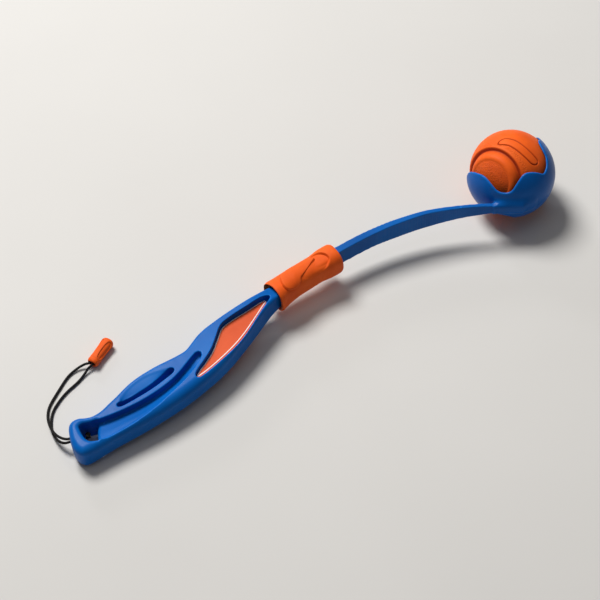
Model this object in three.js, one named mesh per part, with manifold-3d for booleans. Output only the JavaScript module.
// Folding ball launcher for dogs: a cored plastic handle, a curved throwing arm
// with a claw cup that holds a rubber ball, a rubber-covered sleeve that slides
// over the fold joint to lock it straight, and a wrist cord on the tail.
// Units are millimetres. Launcher frame: x from the handle's tail to the ball,
// y towards the finger side, z across the throwing plane. The launcher lies on
// its side, so the launcher frame is tipped by TILT about y.
import * as THREE from 'three';
import { mergeVertices } from 'three/addons/utils/BufferGeometryUtils.js';
import Module from 'manifold-3d';

const wasm = await Module();
wasm.setup();

// ---- driving dimensions -------------------------------------------------
const GAP = 0.3;                       // clearance between pieces that touch
const HALF_T = 10.5;                   // half thickness of the handle
const NECK_HALF_T = 7.7;               // half thickness of the neck in the sleeve
const TILT = THREE.MathUtils.degToRad(3.059);
const TAIL_HEIGHT = 10.5;              // tail mid height above the table

const BALL_R = 31.75;                  // 63.5 mm ball
const BALL_C = [398.23, 0];
const BALL_WALL = 6.5;
const BALL_VENT_R = 0.9;
const RELEASE_ANGLE = THREE.MathUtils.degToRad(83);   // way out of the cup
const RELEASE_TRAVEL = 70;

const CUP_R = 34.7;                    // outer radius of the claw cup
const CUP_C = [396.73, -2.4];
const CAVITY_R = 32.3;
const CAVITY_C = [397.93, -0.5];
const SWEEP_R = BALL_R + 0.4;

const HINGE = [194, 18.0];             // fold pin axis, along z
const EAR_R = 3.45;
const TONGUE_R = 3.7;
const TONGUE_HALF = 2.9;
const SLOT_HALF = 4.1;
const PIN_R = 1.5;
const BORE_R = 1.85;
const HEAD_R = 2.5;
const HEAD_T = 1.2;
const WASHER_R = 3.5;
const WASHER_T = 0.6;

const ARM_ROOT_HALF = 7.2;             // half height of the arm inside the sleeve
const CORD_R = 1.0;                    // 2 mm round cord
const CORD_Z = -0.6;                   // cord slot in the tail wall
const CORD_EXIT_Y = 4.0;
const CORD_SLOPE = -0.4;
const CORD_SPREAD = 1.45;
const RECESS_FLOOR = (x) => 6.0 - 0.034 * (x - 100);   // label recess, deeper towards the sleeve
const RECESS = [[177.2, 13.0], [173.0, 15.2], [157.8, 14.9], [142.7, 14.5], [134.8, 13.4], [130.6, 11.2], [124.0, 5.9], [116.0, -0.2],
  [107.0, -5.0], [99.6, -8.3], [95.2, -11.0], [94.1, -13.2], [95.0, -14.6], [98.4, -14.8], [107.3, -13.8], [116.1, -12.2], [125.2, -10.2],
  [134.5, -7.6], [144.6, -3.8], [155.3, 1.1], [166.5, 6.5], [176.2, 11.3]];

// ---- helpers ------------------------------------------------------------
function solid(geometry) {
  const g = geometry.index ? geometry.toNonIndexed() : geometry.clone();
  for (const name of Object.keys(g.attributes)) if (name !== 'position') g.deleteAttribute(name);
  const m = mergeVertices(g, 1e-4);
  const tri = [];
  const ix = m.index.array;
  for (let i = 0; i < ix.length; i += 3) {
    if (ix[i] !== ix[i + 1] && ix[i + 1] !== ix[i + 2] && ix[i] !== ix[i + 2]) tri.push(ix[i], ix[i + 1], ix[i + 2]);
  }
  return new wasm.Manifold(new wasm.Mesh({
    numProp: 3,
    vertProperties: new Float32Array(m.attributes.position.array),
    triVerts: new Uint32Array(tri),
  }));
}

function geometryOf(manifold) {
  const mesh = manifold.getMesh();
  const n = mesh.numProp;
  const pos = new Float32Array(mesh.numVert * 3);
  for (let i = 0; i < mesh.numVert; i++) {
    pos[3 * i] = mesh.vertProperties[n * i];
    pos[3 * i + 1] = mesh.vertProperties[n * i + 1];
    pos[3 * i + 2] = mesh.vertProperties[n * i + 2];
  }
  const g = new THREE.BufferGeometry();
  g.setAttribute('position', new THREE.BufferAttribute(pos, 3));
  g.setIndex(new THREE.BufferAttribute(new Uint32Array(mesh.triVerts), 1));
  g.computeVertexNormals();
  return g;
}

// Closed mesh from rings of equal length, capped by triangulated end rings.
function loft(rings, flat = null) {
  const n = rings[0].length;
  const pos = rings.flat().map((p) => [p.x, p.y, p.z]).flat();
  const tri = [];
  for (let r = 0; r + 1 < rings.length; r++) {
    for (let i = 0; i < n; i++) {
      const a = r * n + i, b = r * n + (i + 1) % n, c = a + n, d = b + n;
      tri.push(a, b, d, a, d, c);
    }
  }
  const cap = (ring, base, flip) => {
    const pts = flat ? ring.map(flat) : planar(ring);
    // Triangles come back with one winding, so a clockwise ring turns them over.
    const turn = (THREE.ShapeUtils.area(pts) < 0) !== flip;
    for (const f of THREE.ShapeUtils.triangulateShape(pts, [])) tri.push(base + f[0], base + (turn ? f[2] : f[1]), base + (turn ? f[1] : f[2]));
  };
  cap(rings[0], 0, true);
  cap(rings[rings.length - 1], (rings.length - 1) * n, false);
  const g = new THREE.BufferGeometry();
  g.setAttribute('position', new THREE.BufferAttribute(new Float32Array(pos), 3));
  g.setIndex(tri);
  return orient(g);
}

function planar(ring) {
  const c = new THREE.Vector3();
  for (const p of ring) c.add(p);
  c.multiplyScalar(1 / ring.length);
  const nrm = new THREE.Vector3();
  for (let i = 0; i < ring.length; i++) {
    nrm.add(new THREE.Vector3().subVectors(ring[i], c).cross(new THREE.Vector3().subVectors(ring[(i + 1) % ring.length], c)));
  }
  nrm.normalize();
  const u = new THREE.Vector3().subVectors(ring[0], c).normalize();
  const v = new THREE.Vector3().crossVectors(nrm, u);
  return ring.map((p) => { const q = new THREE.Vector3().subVectors(p, c); return new THREE.Vector2(q.dot(u), q.dot(v)); });
}

// Turn a closed mesh so that its faces point out.
function orient(g) {
  const p = g.attributes.position, ix = g.index.array;
  let vol = 0;
  const a = new THREE.Vector3(), b = new THREE.Vector3(), c = new THREE.Vector3();
  for (let i = 0; i < ix.length; i += 3) {
    a.fromBufferAttribute(p, ix[i]); b.fromBufferAttribute(p, ix[i + 1]); c.fromBufferAttribute(p, ix[i + 2]);
    vol += a.dot(b.clone().cross(c));
  }
  if (vol < 0) for (let i = 0; i < ix.length; i += 3) { const t = ix[i + 1]; ix[i + 1] = ix[i + 2]; ix[i + 2] = t; }
  return g;
}

const V3 = (x, y, z) => new THREE.Vector3(x, y, z);

// Superellipse section in the plane across the sleeve.
function section(x, yc, a, b, n = 28, power = 2.6) {
  const out = [];
  for (let i = 0; i < n; i++) {
    const t = i / n * Math.PI * 2, c = Math.cos(t), s = Math.sin(t);
    out.push(V3(x, yc + a * Math.sign(c) * Math.abs(c) ** (2 / power), b * Math.sign(s) * Math.abs(s) ** (2 / power)));
  }
  return out;
}
const YZ = (p) => new THREE.Vector2(p.y, p.z);
const boreY = (x) => interp([[183.5, 15.9], [192, 16.5], [200, 16.9], [226, 16.9], [238, 16.4]], x);
const WINDOW = [15.9, 5.2, 8.9];       // centre, half width and half height of the sleeve's arm window
const LINER_POWER = 3.4;
function tube(rows, power, n = 24) {
  return solid(loft(rows.map(([x, a, b]) => section(x, boreY(x), a, b, n, power)), YZ));
}

// Prism of a plan outline between two heights.
function prism(outline, z0, z1) {
  return solid(loft([outline.map(([x, y]) => V3(x, y, z0)), outline.map(([x, y]) => V3(x, y, z1))], (p) => new THREE.Vector2(p.x, p.y)));
}

// Slab of a plan outline between two surfaces whose height depends on x.
function slab(outline, za, zb) {
  return solid(loft([outline.map(([x, y]) => V3(x, y, za(x))), outline.map(([x, y]) => V3(x, y, zb(x)))], (p) => new THREE.Vector2(p.x, p.y)));
}

function cylinderZ(cx, cy, r, z0, z1, seg = 24) {
  const g = new THREE.CylinderGeometry(r, r, z1 - z0, seg);
  g.rotateX(Math.PI / 2);
  g.translate(cx, cy, (z0 + z1) / 2);
  return solid(g);
}

function box(x0, x1, y0, y1, z0, z1) {
  const g = new THREE.BoxGeometry(x1 - x0, y1 - y0, z1 - z0);
  g.translate((x0 + x1) / 2, (y0 + y1) / 2, (z0 + z1) / 2);
  return solid(g);
}

// Points of a smooth closed or open curve through plan points.
function smooth(points, count, closed = false) {
  const c = new THREE.CatmullRomCurve3(points.map(([x, y]) => V3(x, y, 0)), closed, 'centripetal');
  const out = c.getSpacedPoints(count).map((p) => [p.x, p.y]);
  if (closed) out.pop();
  return out;
}

function interp(table, x) {
  if (x <= table[0][0]) return table[0][1];
  for (let i = 1; i < table.length; i++) {
    if (x <= table[i][0]) {
      const t = (x - table[i - 1][0]) / (table[i][0] - table[i - 1][0]);
      return table[i - 1][1] + t * (table[i][1] - table[i - 1][1]);
    }
  }
  return table[table.length - 1][1];
}

const material = (color, roughness, metalness = 0) => new THREE.MeshStandardMaterial({ color, roughness, metalness });
const BLUE = () => material(0x0b55c8, 0.5);
const ORANGE = () => material(0xf2541c, 0.6);
const BLACK = () => material(0x17120f, 0.85);
const STEEL = () => material(0xb9bcc0, 0.35, 1);
const WHITE = () => material(0xf0eee8, 0.55);

const launcher = new THREE.Group();
launcher.rotation.y = -TILT;
launcher.position.z = TAIL_HEIGHT;
const add = (name, geometry, mat, parent = launcher) => {
  const mesh = new THREE.Mesh(geometry, mat);
  mesh.name = name;
  parent.add(mesh);
  return mesh;
};

// ---- handle -------------------------------------------------------------
// Plan outline, with the radius that rounds each stretch of its edge.
const FINGER_SIDE = [[-2.7, 3.6], [-1.2, 7.2], [1.6, 9.7], [5.2, 10.5], [9.2, 9.5], [13, 7.1], [17, 5.2], [21, 4.7], [26, 5.0],
  [33, 6.7], [39, 8.0], [45, 9.7], [52, 11.5], [60, 12.6], [68, 12.8], [77, 12.5], [86, 11.5], [94, 10.7], [101, 10.8], [108, 13.4],
  [115, 16.2], [122, 17.8], [130, 18.7], [140, 19.5], [152, 20.0], [164, 20.2], [174, 20.3], [182, 20.3]];
const PALM_SIDE = [[182, 8.6], [176, 7.2], [168, 4.5], [160, 1.2], [150, -3.1], [140, -7.2], [130, -11.1], [120, -14.5],
  [110, -17.1], [100, -18.8], [90, -20.2], [80, -21.2], [70, -21.7], [58, -21.8], [46, -21.4], [34, -20.6], [22, -19.8], [10, -19.4],
  [2, -18.9], [-3.4, -17.3], [-5.9, -13.2], [-6.3, -8.4], [-5.2, -3.2]];
function handleBody() {
  const finger = smooth(FINGER_SIDE, 46);
  const palm = smooth(PALM_SIDE, 40);
  const hx = HINGE[0], hy = HINGE[1];
  const ear = [];
  for (let a = 152; a >= -84; a -= 23.4) ear.push([hx + EAR_R * Math.cos(a * Math.PI / 180), hy + EAR_R * Math.sin(a * Math.PI / 180)]);
  const neck = [[186, 20.0], ...ear, [hx - 0.3, hy - 4.3], [hx - 0.3, 11.3], [190, 10.7], [186, 9.8]];
  const outline = [...finger, ...neck, ...palm];
  const closing = smooth([PALM_SIDE[PALM_SIDE.length - 1], [-3.7, 0.3], FINGER_SIDE[0]], 3);
  outline.push(...closing.slice(1, -1));
  const n = outline.length;
  const radius = outline.map(([x, y], i) => {
    if (i >= finger.length && i < finger.length + neck.length) return 1.5;
    if (i < finger.length) return interp([[-5, 4.5], [10, 3.4], [40, 3.0], [90, 3.0], [120, 2.6], [165, 2.4], [182, 2.2]], x);
    return interp([[-6, 5.0], [10, 7.0], [60, 7.6], [110, 7.0], [150, 4.6], [172, 3.4], [182, 2.2]], x);
  });
  const normal = outline.map((p, i) => {
    const a = outline[(i + n - 1) % n], b = outline[(i + 1) % n];
    const t = new THREE.Vector2(b[0] - a[0], b[1] - a[1]).normalize();
    return [-t.y, t.x];
  });
  // The outline runs clockwise seen from +z, so the left normal points out.
  const steps = [0, 0.26, 0.52, 0.78, 1];
  const rings = [];
  const ringAt = (s, sign) => outline.map((p, i) => {
    const r = radius[i], ang = (1 - s) * Math.PI / 2;
    const inset = r * (1 - Math.cos(ang));
    const z = HALF_T - r + r * Math.sin(ang);
    return V3(p[0] - normal[i][0] * inset, p[1] - normal[i][1] * inset, sign * z);
  });
  for (const s of steps) rings.push(ringAt(s, -1));
  for (const s of [...steps].reverse()) rings.push(ringAt(s, 1));
  let body = solid(loft(rings, (p) => new THREE.Vector2(p.x, p.y)));

  // The neck thins towards the sleeve on both faces.
  for (const s of [1, -1]) {
    const pts = [V3(160, 0, HALF_T + 0.01), V3(172, 0, 9.5), V3(183, 0, NECK_HALF_T), V3(204, 0, NECK_HALF_T), V3(204, 0, 16), V3(160, 0, 16)];
    const ringA = pts.map((p) => V3(p.x, -10, s * p.z)), ringB = pts.map((p) => V3(p.x, 40, s * p.z));
    body = body.subtract(solid(loft([ringA, ringB], (p) => new THREE.Vector2(p.x, p.z))));
  }

  // The neck's edges follow the sleeve's bore with a running gap.
  const spigot = tube([[182.6, 7.7, 9.0], [188, 6.85, 8.45], [192, 6.65, 8.35], [212, 6.65, 8.35]], LINER_POWER);
  body = body.subtract(box(182.8, 210, -10, 40, -16, 16).subtract(spigot));

  // Hang hole right through the tail.
  const hang = [[6.0, 3.0], [8.6, 3.5], [12, 2.2], [15.4, 0.5], [18.2, -0.8], [14.8, -6.1], [11.6, -11.8], [10.2, -15.2], [8.4, -14.6], [5.9, -12.6], [4.5, -9], [4.4, -4.3], [5.0, 0]];
  body = body.subtract(prism(hang, -20, 20));

  for (const s of [1, -1]) {
    // Palm channel: upright wall on the finger side, floor that climbs to the palm rim.
    const far = [[15.8, 0.2], [23.4, -1.8], [30, -3.4], [36.5, -4.6], [44.5, -5.7], [52, -6.4], [60, -6.6], [69.3, -6.2], [79.7, -4.8], [88, -2.5], [95.1, 0.2], [101.4, 2.6], [105.2, 3.8]];
    const near = [[10.8, -15.0], [17, -16.5], [25, -17.1], [32.4, -17.5], [41, -17.6], [50, -17.2], [58.5, -16.4], [67, -14.9], [77, -12.7], [88.5, -9.7], [97, -6.6], [103.7, -3.4], [107.6, -0.4]];
    const rings2 = far.map((f, i) => {
      const q = near[i];
      const floor = interp([[16, 4.6], [60, 4.2], [95, 4.6], [105.2, 5.4]], f[0]);
      const rim = interp([[16, 8.8], [60, 9.4], [88, 9.6], [96, 7.6], [105.2, 6.0]], f[0]);
      const mid = [(f[0] * 2 + q[0]) / 3, (f[1] * 2 + q[1]) / 3];
      return [V3(f[0], f[1], s * floor), V3(mid[0], mid[1], s * (floor + 0.25 * (rim - floor))), V3(q[0], q[1], s * rim), V3(q[0], q[1], s * 15), V3(f[0], f[1], s * 15)];
    });
    body = body.subtract(solid(loft(rings2)));
    // Slim pocket in the finger bulge with a dished far side.
    const slot = [[36.5, 1.9], [35.9, 0.4], [36.6, -0.9], [38.2, -1.9], [45.1, -2.7], [57.4, -3.1], [66.1, -2.9], [75.2, -2.0], [83.1, -0.7], [85.4, 1.2], [85.2, 3.2], [83.2, 4.5], [78.9, 4.1], [72, 2.8], [64.4, 1.6], [55.8, 1.3], [47.2, 1.2], [41.2, 2.1], [38.4, 2.4]];
    body = body.subtract(s > 0 ? prism(slot, 3.2, 16) : prism(slot, -16, -3.2));
    const dishLow = [[40, 2.4], [48, 1.4], [57.5, 1.3], [68, 2.0], [77.5, 3.2], [83, 4.0]];
    const dishHigh = [[42.5, 4.4], [50, 7.2], [58.5, 8.6], [67, 8.4], [75, 6.6], [81, 4.6]];
    const rings3 = dishLow.map((a, i) => {
      const b = dishHigh[i];
      return [V3(a[0], a[1] - 0.4, s * 7.6), V3(b[0], b[1], s * 10.3), V3(b[0], b[1], s * 15), V3(a[0], a[1] - 0.4, s * 15)];
    });
    body = body.subtract(solid(loft(rings3)));
    // Kite-shaped label recess.
    body = body.subtract(slab(RECESS, (x) => s * RECESS_FLOOR(x), () => s * 16));
  }

  // Cord slot through the tail wall, at mid thickness.
  const bore = [];
  for (let i = 0; i < 14; i++) {
    const a = i / 14 * Math.PI * 2;
    bore.push([Math.cos(a) * 1.5 + (Math.cos(a) >= 0 ? 1 : -1) * CORD_SPREAD, Math.sin(a) * 1.5 + CORD_Z]);
  }
  const slotY = (x) => CORD_EXIT_Y + CORD_SLOPE * (x + 4);
  body = body.subtract(solid(loft([-12, 9].map((x) => bore.map(([y, z]) => V3(x, y + slotY(x), z))), (p) => new THREE.Vector2(p.y, p.z))));

  // Fork for the arm's tongue, pin bore and counterbores.
  body = body.subtract(box(183.6, 203, hy - 4.4, 32, -SLOT_HALF, SLOT_HALF));
  body = body.subtract(cylinderZ(hx, hy, 4.4, -SLOT_HALF, SLOT_HALF, 24));
  body = body.subtract(cylinderZ(hx, hy, BORE_R, -16, 16, 20));
  body = body.subtract(cylinderZ(hx, hy, HEAD_R + GAP, NECK_HALF_T - HEAD_T - 0.7, 16, 20));
  body = body.subtract(cylinderZ(hx, hy, HEAD_R + GAP, -16, -(NECK_HALF_T - HEAD_T - 0.7), 20));
  return body;
}
add('handle_body', geometryOf(handleBody()), BLUE());

// Labels on the two recess floors: a plate inset from the recess wall.
function insetOutline(outline, d) {
  const n = outline.length;
  let area = 0;
  for (let i = 0; i < n; i++) { const a = outline[i], b = outline[(i + 1) % n]; area += a[0] * b[1] - a[1] * b[0]; }
  const s = Math.sign(area);
  return outline.map((p, i) => {
    const a = outline[(i + n - 1) % n], b = outline[(i + 1) % n];
    const e1 = new THREE.Vector2(p[0] - a[0], p[1] - a[1]).normalize(), e2 = new THREE.Vector2(b[0] - p[0], b[1] - p[1]).normalize();
    const m1 = new THREE.Vector2(-e1.y, e1.x), m2 = new THREE.Vector2(-e2.y, e2.x);
    const bis = m1.clone().add(m2).normalize();
    const k = Math.min(1.6, 1 / Math.max(0.4, bis.dot(m1)));
    return [p[0] + s * bis.x * d * k, p[1] + s * bis.y * d * k];
  });
}
const LABEL = insetOutline(RECESS, 0.5);
add('label_upper', geometryOf(slab(LABEL, (x) => RECESS_FLOOR(x) + GAP, (x) => RECESS_FLOOR(x) + GAP + 0.5)), ORANGE());
add('label_lower', geometryOf(slab(LABEL, (x) => -RECESS_FLOOR(x) - GAP - 0.5, (x) => -RECESS_FLOOR(x) - GAP)), ORANGE());

// ---- fold joint hardware --------------------------------------------------
function headedPin() {
  const top = NECK_HALF_T - 0.4, low = -(NECK_HALF_T - 0.4);
  const pts = [[0, low], [PIN_R - 0.3, low], [PIN_R, low + 0.3], [PIN_R, top - HEAD_T], [HEAD_R, top - HEAD_T], [HEAD_R, top - 0.35], [HEAD_R - 0.5, top], [0, top]];
  const g = new THREE.LatheGeometry(pts.map(([r, z]) => new THREE.Vector2(r, z)), 20);
  g.rotateX(Math.PI / 2);
  return orient(mergeVertices(stripped(g), 1e-4));
}
function stripped(g) {
  const c = g.clone();
  for (const name of Object.keys(c.attributes)) if (name !== 'position') c.deleteAttribute(name);
  return c;
}
function ring(rIn, rOut, z0, z1, seg = 20) {
  return cylinderZ(0, 0, rOut, z0, z1, seg).subtract(cylinderZ(0, 0, rIn, z0 - 1, z1 + 1, seg));
}
const hingeGroup = new THREE.Group();
hingeGroup.position.set(HINGE[0], HINGE[1], 0);
launcher.add(hingeGroup);
add('fold_pin', geometryOf(solid(headedPin())), STEEL(), hingeGroup);
add('pin_push_nut', geometryOf(ring(PIN_R + GAP, HEAD_R, -(NECK_HALF_T - 0.5), -(NECK_HALF_T - 0.5 - 1.0))), STEEL(), hingeGroup);
add('hinge_washer_upper', geometryOf(ring(BORE_R, WASHER_R, TONGUE_HALF + GAP, TONGUE_HALF + GAP + WASHER_T)), WHITE(), hingeGroup);
add('hinge_washer_lower', geometryOf(ring(BORE_R, WASHER_R, -TONGUE_HALF - GAP - WASHER_T, -TONGUE_HALF - GAP)), WHITE(), hingeGroup);

// ---- throwing arm and claw cup -------------------------------------------
const ARM_LINE = [[200, 16.3], [214, 17.0], [228, 17.1], [244, 16.5], [262, 15.3], [276, 13.6], [293, 10.0], [316, 3.4], [340, -7.0], [356, -16.0], [368, -23.7], [376, -28.6]];
// half thickness and half height of the strip along x
const ARM_THICK = [[200, 3.5], [262, 3.3], [290, 2.9], [320, 2.3], [345, 1.9], [376, 1.85]];
const ARM_HEIGHT = [[200, 7.9], [240, 8.1], [276, 8.2], [290, 8.8], [318, 8.7], [345, 6.4], [376, 5.6]];
// Cup rim: half height as a share of the cup radius, by angle about the cup centre.
const RIM = [[146.5, 0.0], [147.2, 0.08], [149, 0.16], [153, 0.25], [159, 0.335], [167.2, 0.435], [175.5, 0.495], [184.3, 0.52], [191.5, 0.515],
  [197.5, 0.473], [203.4, 0.402], [208.2, 0.35], [215, 0.325], [221.4, 0.335], [228.8, 0.379], [233.9, 0.439], [238, 0.515], [242.6, 0.59],
  [248.1, 0.655], [255.7, 0.691], [265, 0.689], [274.6, 0.639], [284, 0.55], [290.9, 0.512], [297, 0.518], [303.6, 0.546], [310.9, 0.6],
  [318.7, 0.652], [326, 0.71], [335, 0.75], [346, 0.755], [354, 0.70], [362, 0.59], [371, 0.45], [377, 0.29], [380.5, 0.1], [381.5, 0.0]];
function throwingArm() {
  const curve = new THREE.CatmullRomCurve3(ARM_LINE.map(([x, y]) => V3(x, y, 0)), false, 'centripetal');
  const N = 22, rings = [];
  for (let i = 0; i <= N; i++) {
    const p = curve.getPointAt(i / N), t = curve.getTangentAt(i / N);
    const nx = -t.y, ny = t.x;
    const a = interp(ARM_THICK, p.x), h = interp(ARM_HEIGHT, p.x), c = Math.min(1.0, a * 0.45);
    const sec = [[-a, -h + c], [-a + c, -h], [a - c, -h], [a, -h + c], [a, h - c], [a - c, h], [-a + c, h], [-a, h - c]];
    rings.push(sec.map(([u, z]) => V3(p.x + nx * u, p.y + ny * u, z)));
  }
  let arm = solid(loft(rings));

  // Root block inside the sleeve with its shoulder and the tongue for the fork.
  const hx = HINGE[0], hy = HINGE[1];
  const root = [[hx + 0.3, 11.7], [208, 11.7], [216, 12.4], [226, 13.9], [226, 20.4], [212, 20.3], [202.6, 19.7], [202.6, hy - 2.2]];
  for (let a = -24; a >= -84; a -= 15) root.push([hx + 4.6 * Math.cos(a * Math.PI / 180), hy + 4.6 * Math.sin(a * Math.PI / 180)]);
  root.push([hx + 0.3, hy - 4.65]);
  arm = arm.subtract(box(190, 202.6, 0, 40, -20, 20));
  arm = arm.add(prism(root, -ARM_ROOT_HALF, ARM_ROOT_HALF));
  const tongue = [];
  for (let a = 90; a <= 270; a += 20) tongue.push([hx + TONGUE_R * Math.cos(a * Math.PI / 180), hy + TONGUE_R * Math.sin(a * Math.PI / 180)]);
  tongue.push([hx + 6, hy - 4.9], [204, hy - 4.9], [204, hy + 1.6], [hx + 5, hy + 1.7], [hx + 3, hy + 2.4]);
  arm = arm.add(prism(tongue, -TONGUE_HALF, TONGUE_HALF));

  // Cup: spherical band between the two wavy rims.
  const [cx, cy] = CUP_C;
  const outer = new THREE.SphereGeometry(CUP_R, 42, 26);
  outer.rotateX(Math.PI / 2);
  outer.translate(cx, cy, 0);
  let cup = solid(outer);
  // Star-shaped cutter whose upper and lower faces run from the centre through the rims.
  const M = 60, a0 = RIM[0][0], a1 = RIM[RIM.length - 1][0];
  const pos = [], tri = [];
  pos.push(cx, cy, 0);
  const REACH = 60;
  for (let i = 0; i <= M; i++) {
    const a = a0 + (a1 - a0) * (0.5 - 0.5 * Math.cos(Math.PI * i / M)) * 0.35 + (a1 - a0) * (i / M) * 0.65;
    const zr = Math.min(0.97, Math.max(i === 0 || i === M ? 0.02 : 0.05, interp(RIM, a)));
    const lat = Math.asin(zr), ar = a * Math.PI / 180;
    const x = cx + REACH * Math.cos(lat) * Math.cos(ar), y = cy + REACH * Math.cos(lat) * Math.sin(ar), z = REACH * Math.sin(lat);
    pos.push(x, y, z, x, y, -z);
  }
  for (let i = 0; i < M; i++) {
    const t0 = 1 + 2 * i, b0 = t0 + 1, t1 = t0 + 2, b1 = b0 + 2;
    tri.push(0, t0, t1, 0, b1, b0, t0, b0, b1, t0, b1, t1);
  }
  tri.push(0, 2, 1, 0, 1 + 2 * M, 2 + 2 * M);
  const cg = new THREE.BufferGeometry();
  cg.setAttribute('position', new THREE.BufferAttribute(new Float32Array(pos), 3));
  cg.setIndex(tri);
  cup = cup.intersect(solid(orient(cg)));

  // Fillet of material where the strip runs into the back of the cup.
  const web = [[362, -22.4], [372, -29.2], [380, -35.6], [390, -35.0], [378, -24.0], [366.5, -17.5]];
  arm = arm.add(prism(web, -5.6, 5.6));
  arm = arm.add(cup);

  const cavity = new THREE.SphereGeometry(CAVITY_R, 42, 26);
  cavity.rotateX(Math.PI / 2);
  cavity.translate(CAVITY_C[0], CAVITY_C[1], 0);
  arm = arm.subtract(solid(cavity));
  // Straight way out for the ball.
  const sweep = new THREE.CylinderGeometry(SWEEP_R, SWEEP_R, RELEASE_TRAVEL + 40, 48);
  sweep.translate(0, (RELEASE_TRAVEL + 40) / 2, 0);
  sweep.rotateZ(RELEASE_ANGLE - Math.PI / 2);
  sweep.translate(BALL_C[0], BALL_C[1], 0);
  arm = arm.subtract(solid(sweep));
  arm = arm.subtract(cylinderZ(hx, hy, BORE_R, -16, 16, 20));
  return arm;
}
add('throwing_arm', geometryOf(throwingArm()), BLUE());

// ---- sliding lock sleeve --------------------------------------------------
function armWindow(x0, x1, grow = 0) {
  const [y, a, b] = WINDOW;
  return solid(loft([section(x0, y, a + grow, b + grow, 20, 6), section(x1, y, a + grow, b + grow, 20, 6)], YZ));
}
function sleeveLiner() {
  const s = tube([[184.4, 8.7, 10.1], [188, 8.1, 9.7], [192, 7.9, 9.6], [200, 7.9, 9.6], [226, 7.9, 9.6], [238, 7.9, 9.6]], LINER_POWER)
    .subtract(tube([[183.4, 8.0, 9.3], [188, 7.2, 8.8], [192, 7.0, 8.7], [200, 7.0, 8.7], [226, 7.0, 8.7], [236.6, 7.0, 8.7]], LINER_POWER));
  return s.subtract(armWindow(234, 242));
}
// Outer size of the rubber grip: x, centre y, half width, half height
const GRIP = [[182.6, 15.0, 10.9, 11.6], [184, 15.2, 11.2, 11.9], [188, 15.7, 10.7, 11.5], [193, 16.3, 10.2, 11.2], [200, 16.8, 9.9, 10.9], [210, 16.9, 9.8, 10.8],
  [220, 16.9, 9.7, 10.8], [229, 16.8, 9.9, 10.8], [235, 16.5, 10.0, 10.9], [238.6, 16.4, 9.8, 10.7], [240.2, 16.3, 9.0, 10.0]];
function sleeveGrip() {
  const g = GAP + 0.05;
  const s = solid(loft(GRIP.map(([x, y, a, b]) => section(x, y, a, b, 28, 2.5)), YZ))
    .subtract(tube([[181, 9.6, 10.9], [184.4 - g, 8.7 + g, 10.1 + g], [188, 8.1 + g, 9.7 + g], [192, 7.9 + g, 9.6 + g], [200, 7.9 + g, 9.6 + g], [226, 7.9 + g, 9.6 + g], [238 + g, 7.9 + g, 9.6 + g]], LINER_POWER));
  return s.subtract(armWindow(237, 244, 0.1));
}
add('sleeve_liner', geometryOf(sleeveLiner()), material(0x2b2f36, 0.6));
add('sleeve_grip', geometryOf(sleeveGrip()), ORANGE());

// ---- ball -----------------------------------------------------------------
function ball() {
  const o = new THREE.SphereGeometry(BALL_R, 28, 16);
  const i = new THREE.SphereGeometry(BALL_R - BALL_WALL, 14, 9);
  const v = new THREE.CylinderGeometry(BALL_VENT_R, BALL_VENT_R, 20, 8);
  v.translate(0, BALL_R - BALL_WALL / 2, 0);
  const b = solid(o).subtract(solid(i)).subtract(solid(v));
  return b;
}
const ballMesh = add('ball', geometryOf(ball()), ORANGE());
ballMesh.rotation.z = Math.PI + 0.6;
ballMesh.position.set(BALL_C[0], BALL_C[1], 0);

// ---- wrist cord -----------------------------------------------------------
// Routes of the two strands in the table frame: plan x and y from the tail, z up.
const STRAND_A = [[6, 1.45, 10.22], [1, 3.45, 9.95], [-3.6, 5.3, 9.7], [-5.6, 7.7, 9], [-6.97, 11.2, 7.9], [-7.55, 15.27, 6.5], [-7.5, 19.5, 5.2],
  [-7, 23.36, 4.1], [-6.05, 27.56, 3.3], [-4.7, 31.58, 2.35], [-2.51, 35.97, 1.35], [0.25, 39.77, 1.05], [3.62, 42.87, 1.05], [7.89, 45.77, 1.05],
  [12.51, 48.55, 1.05], [17.21, 51.31, 1.05], [21.84, 54.04, 1.05], [26.67, 56.5, 1.05], [31.43, 57.9, 1.3], [35.97, 58.35, 1.9], [39.9, 57.9, 3],
  [42.6, 57, 3.9], [44.3, 56, 4.35], [46.05, 55.75, 4.5], [49.51, 57.23, 4.35]];
const STRAND_B = [[6, -1.45, 10.22], [1, 0.55, 9.95], [-3.9, 2.5, 9.7], [-6.2, 3.9, 8.7], [-7.76, 6.72, 7.1], [-8.54, 10.48, 5.6], [-8.56, 14.72, 4],
  [-8, 18.8, 2.6], [-6.91, 22.59, 1.6], [-5.53, 25.94, 1.05], [-3.88, 28.95, 1.05], [-1.76, 32.17, 1.05], [1.04, 35.43, 1.05], [4.44, 38.29, 1.05],
  [8.48, 40.69, 1.05], [12.63, 42.82, 1.05], [16.93, 44.64, 1.05], [21.35, 46.07, 1.05], [25.82, 47.15, 1.05], [30.35, 48.31, 1.05], [34.98, 49.97, 1.3],
  [38.78, 51.55, 2.1], [42.06, 52.85, 3.2], [45.37, 53.3, 4.1], [47.64, 54.1, 4.25], [51.02, 55.46, 4.35]];
const END_MOUTH = [46.3, 54.2, 4.35];
const END_HEADING = Math.atan2(0.43, 0.9);

const table = new THREE.Group();
const assembly = new THREE.Group();
assembly.add(launcher, table);

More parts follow.
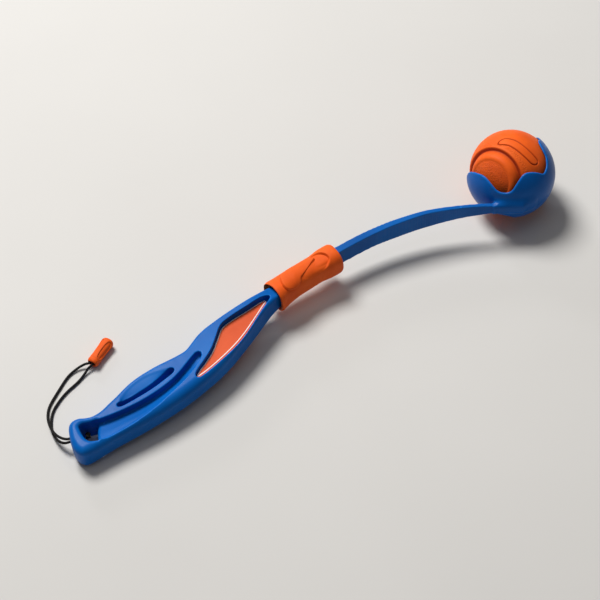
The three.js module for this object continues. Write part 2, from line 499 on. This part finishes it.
function strand(points) {
  const curve = new THREE.CatmullRomCurve3(points.map((p) => V3(...p)), false, 'centripetal');
  const circle = new THREE.Shape();
  for (let i = 0; i < 8; i++) {
    const a = (i + 0.5) / 8 * Math.PI * 2, x = CORD_R * Math.cos(a), y = CORD_R * Math.sin(a);
    if (i === 0) circle.moveTo(x, y); else circle.lineTo(x, y);
  }
  circle.closePath();
  return geometryOf(solid(new THREE.ExtrudeGeometry(circle, { steps: 22, extrudePath: curve })));
}
add('cord_strand_a', strand(STRAND_A), BLACK(), table);
add('cord_strand_b', strand(STRAND_B), BLACK(), table);

// Overhand stopper knot in the hang hole: three turns lying on each other.
function knot(r, tube) {
  let k = null;
  for (const [ax, off, scale] of [[0, -0.55, 1], [0, 0.55, 1], [1, 0, 0.94]]) {
    const g = new THREE.TorusGeometry((r - tube) * scale, tube, 8, 12);
    if (ax === 0) g.rotateY(Math.PI / 2).rotateZ(0.35);
    else g.rotateX(Math.PI / 2);
    g.translate(off, 0, 0);
    const t = solid(g);
    k = k ? k.add(t) : t;
  }
  const core = new THREE.SphereGeometry(r * 0.62, 10, 7);
  return k.add(solid(core));
}
const KNOT_R = 2.7;
const tailKnot = add('cord_tail_knot', geometryOf(knot(KNOT_R, 0.95)), BLACK(), table);
tailKnot.position.set(9.2, -1.25, 10.35);
tailKnot.rotation.z = Math.atan(CORD_SLOPE);

const endGroup = new THREE.Group();
endGroup.position.set(...END_MOUTH);
endGroup.rotation.z = END_HEADING;
table.add(endGroup);
function cordEnd() {
  const profile = [[0, 3.3, 3.1], [0.7, 3.9, 3.7], [3, 4.25, 4.0], [8, 4.5, 4.2], [15, 4.7, 4.3], [19.5, 4.5, 4.15], [22, 3.7, 3.5], [23.4, 2.3, 2.3], [23.8, 1.1, 1.1]];
  let s = solid(loft(profile.map(([x, a, b]) => section(x, 0, a, b, 24, 2.4)), YZ));
  s = s.subtract(solid(loft([section(-1, 0, 3.0, 1.5, 16, 3), section(7, 0, 3.0, 1.5, 16, 3)], YZ)));
  const chamber = new THREE.SphereGeometry(3.3, 18, 12);
  chamber.scale(1.1, 1, 1);
  chamber.translate(9.4, 0, 0);
  return s.subtract(solid(chamber));
}
add('cord_end', geometryOf(cordEnd()), ORANGE(), endGroup);
const innerKnot = add('cord_end_knot', geometryOf(knot(2.5, 0.9)), BLACK(), endGroup);
innerKnot.position.set(9.6, 0, 0);

// Origin under the middle of the launcher's own box, on the table.
assembly.updateMatrixWorld(true);
const bounds = new THREE.Box3().setFromObject(launcher, true);
assembly.position.set(-(bounds.min.x + bounds.max.x) / 2, -(bounds.min.y + bounds.max.y) / 2, -bounds.min.z);

const part = new THREE.Group();
part.add(assembly);
part.updateMatrixWorld(true);

export default part;
